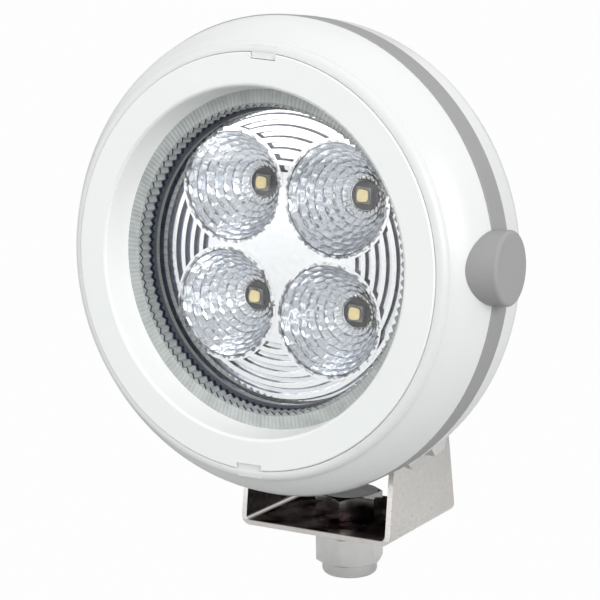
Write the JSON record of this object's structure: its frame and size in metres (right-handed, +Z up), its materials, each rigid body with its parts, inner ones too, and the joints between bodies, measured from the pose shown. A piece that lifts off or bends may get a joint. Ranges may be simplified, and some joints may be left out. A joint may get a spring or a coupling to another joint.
{
  "type": "LED floodlight on a tilt bracket",
  "caption": "Round LED floodlight with a clear lens and a cup reflector, on a stainless steel U bracket that tilts and turns on its mounting bolt.",
  "frame": {"origin": "on the mounting bolt's axis, on the underside of the bracket's base", "axes": "+Z up along the mounting bolt, +X along the tilt axis, the lamp looks along -Y"},
  "size_m": [0.1269, 0.0711, 0.1553],
  "materials": {
    "bezel_white": "satin, faintly warm white",
    "shell_white": "smooth, half gloss",
    "trim_grey": "even matt grey",
    "clear_lens": "clear, polished",
    "seal_rubber": "matt",
    "mirror_coat": "bright vacuum coating",
    "board_dark": "black satin solder mask over an aluminium core",
    "led_ceramic": "matt",
    "led_phosphor": "matt yellow",
    "led_silicone": "clear",
    "pad_grey": "matt",
    "housing_black": "fine black powder coat over the casting",
    "board_green": "satin",
    "coil_dark": "satin",
    "capacitor_dark": "gloss sleeve",
    "chip_black": "matt",
    "pin_brass": "plated",
    "terminal_green": "satin",
    "gland_black": "satin nylon",
    "bracket_steel": "bright rolled stainless",
    "bolt_steel": "polished stainless",
    "stainless": "satin stainless",
    "nylon_white": "matt"
  },
  "bodies": {
    "mount_hardware": {"mounting_bolt": "bolt_steel", "mounting_washer": "stainless", "mounting_spring_washer": "stainless", "mounting_nut": "bolt_steel", "nut_lock_ring": "nylon_white"},
    "bracket_arm": {"bracket": "bracket_steel"},
    "lamp_head": {"bezel_ring": "bezel_white", "front_shell": "shell_white", "rear_shell": "shell_white", "trim_band": "trim_grey", "side_cap": "trim_grey", "lens": "clear_lens", "lens_gasket": "seal_rubber", "reflector": "mirror_coat", "led_board": "board_dark", "led_bases": "led_ceramic", "led_chips": "led_phosphor", "led_domes": "led_silicone", "board_screws": "stainless", "thermal_pad": "pad_grey", "lamp_housing": "housing_black", "driver_board": "board_green", "driver_coil": "coil_dark", "driver_capacitors": "capacitor_dark", "driver_chips": "chip_black", "link_pins": "pin_brass", "terminal_block": "terminal_green", "housing_screws": "stainless", "gland_body": "gland_black", "gland_seal": "seal_rubber", "gland_cap": "gland_black", "pivot_bolts": "bolt_steel", "pivot_spring_washers": "stainless", "pivot_flat_washers": "stainless"}
  },
  "joints": [
    {"name": "bracket_pan", "type": "hinge", "parent": "mount_hardware", "child": "bracket_arm", "pos_m": [0, 0, 0], "axis": [0, 0, 1], "continuous": true},
    {"name": "head_tilt", "type": "hinge", "parent": "bracket_arm", "child": "lamp_head", "pos_m": [0, -0.004, 0.028], "axis": [-1, 0, 0], "range_deg": [-15, 70]}
  ]
}
